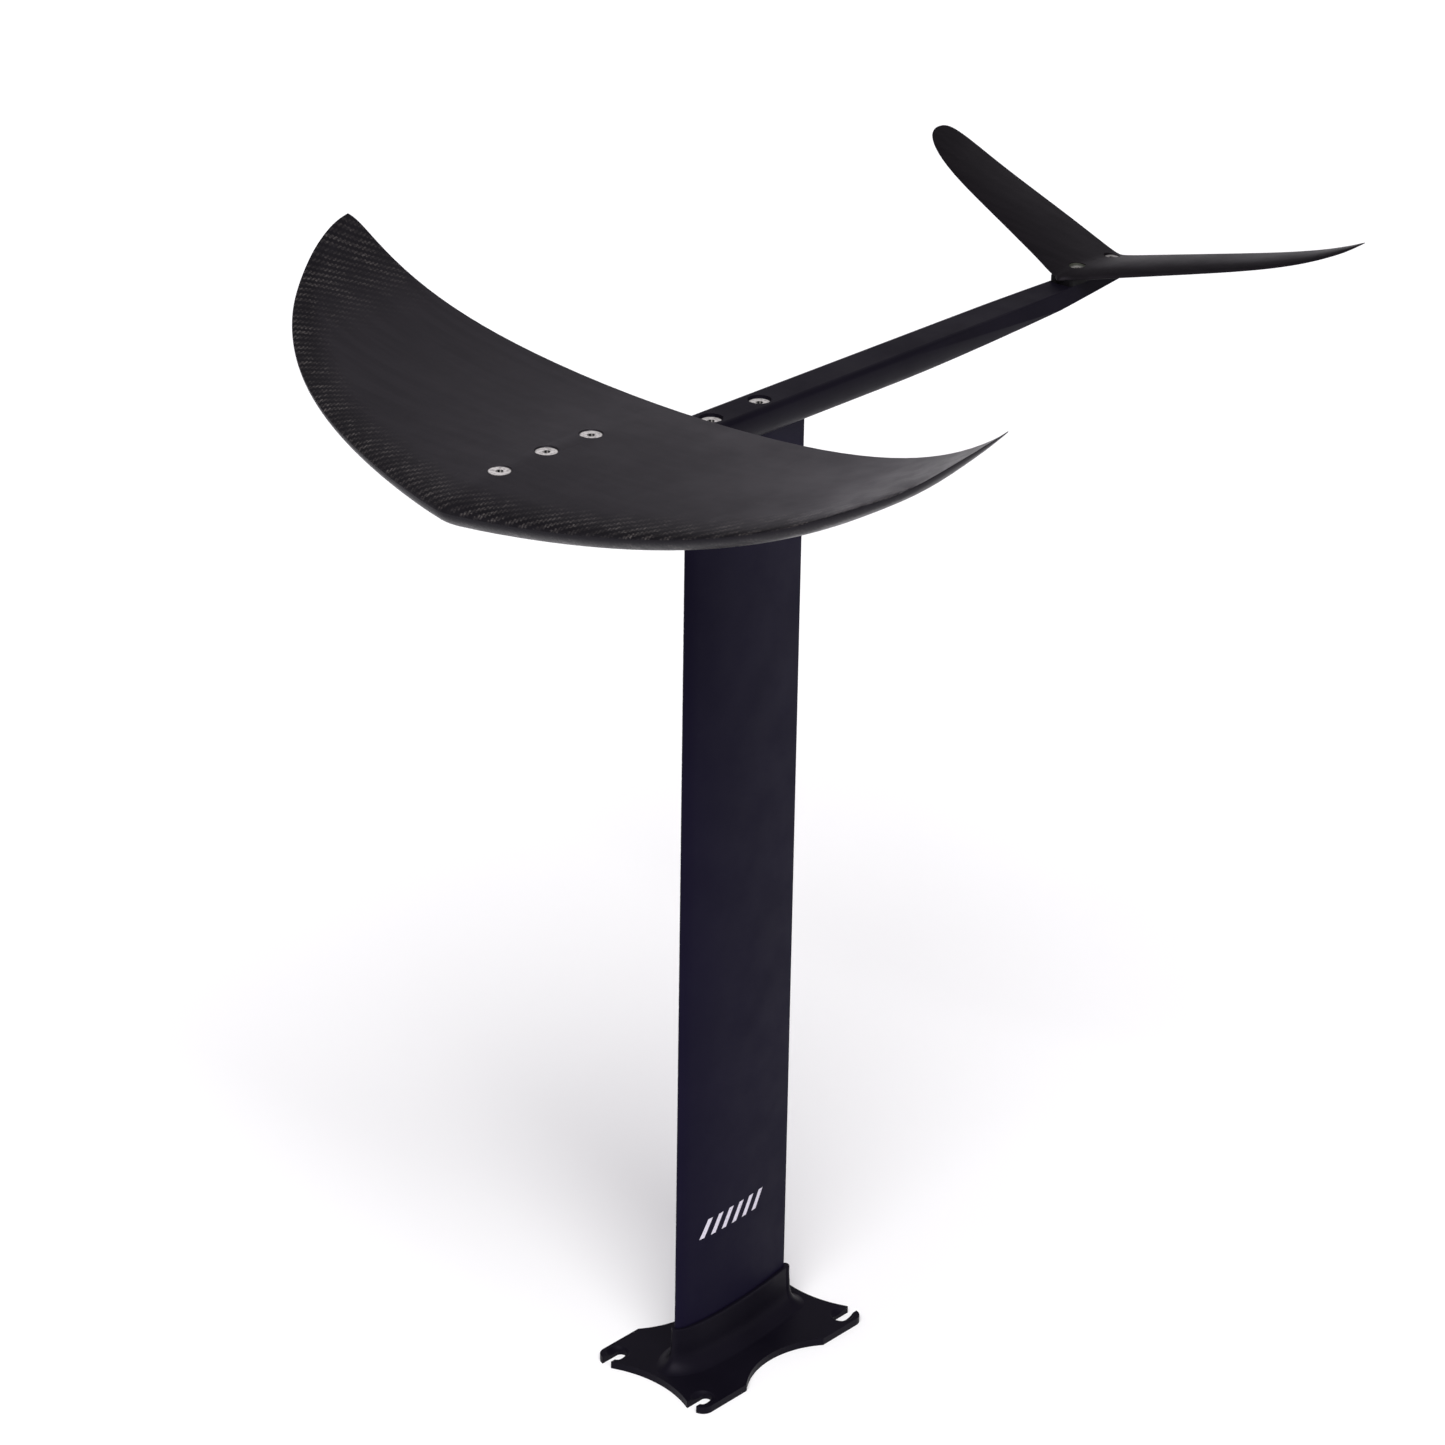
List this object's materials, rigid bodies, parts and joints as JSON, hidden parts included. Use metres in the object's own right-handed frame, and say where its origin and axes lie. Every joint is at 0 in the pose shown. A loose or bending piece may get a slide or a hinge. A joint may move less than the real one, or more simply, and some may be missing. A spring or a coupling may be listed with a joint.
{
  "type": "hydrofoil set",
  "caption": "Hydrofoil set for a board: slotted base plate, hollow foil-section mast, round fuselage, curved carbon front wing and a small stabiliser.",
  "frame": {"origin": "centre of the base plate's mounting face", "axes": "+Z along the mast away from the mounting face, -Y towards the front wing, which is the direction of travel, X across the span"},
  "size_m": [0.623, 0.7771, 0.8791],
  "materials": {
    "black_anodised": "satin black anodised",
    "mast_anodised": "satin blue-black anodised extrusion",
    "wing_carbon": "satin clear-coated carbon fibre",
    "stabiliser_carbon": "satin black carbon fibre",
    "core_foam": "light core, unseen",
    "block_laminate": "solid laminate",
    "shim_plastic": "matt",
    "stainless": "turned stainless steel",
    "insert_steel": "plain stainless steel"
  },
  "bodies": {
    "root": {"base_plate": "black_anodised", "mast": "mast_anodised", "fuselage": "black_anodised", "wing_upper_skin": "wing_carbon", "wing_lower_skin": "wing_carbon", "wing_core": "core_foam", "wing_root_block": "block_laminate", "stabiliser_upper_shell": "stabiliser_carbon", "stabiliser_lower_shell": "stabiliser_carbon", "stabiliser_core": "block_laminate", "stabiliser_shim": "shim_plastic", "plate_screw_front": "stainless", "plate_screw_rear": "stainless", "mast_screw_front": "stainless", "mast_screw_rear": "stainless", "wing_screw_front": "stainless", "wing_screw_middle": "stainless", "wing_screw_rear": "stainless", "stabiliser_screw_front": "stainless", "stabiliser_screw_rear": "stainless", "mast_foot_insert_front": "insert_steel", "mast_foot_insert_rear": "insert_steel", "mast_head_insert_front": "insert_steel", "mast_head_insert_rear": "insert_steel", "fuselage_wing_insert_front": "insert_steel", "fuselage_wing_insert_middle": "insert_steel", "fuselage_wing_insert_rear": "insert_steel", "stabiliser_insert_front": "insert_steel", "stabiliser_insert_rear": "insert_steel"}
  },
  "joints": []
}
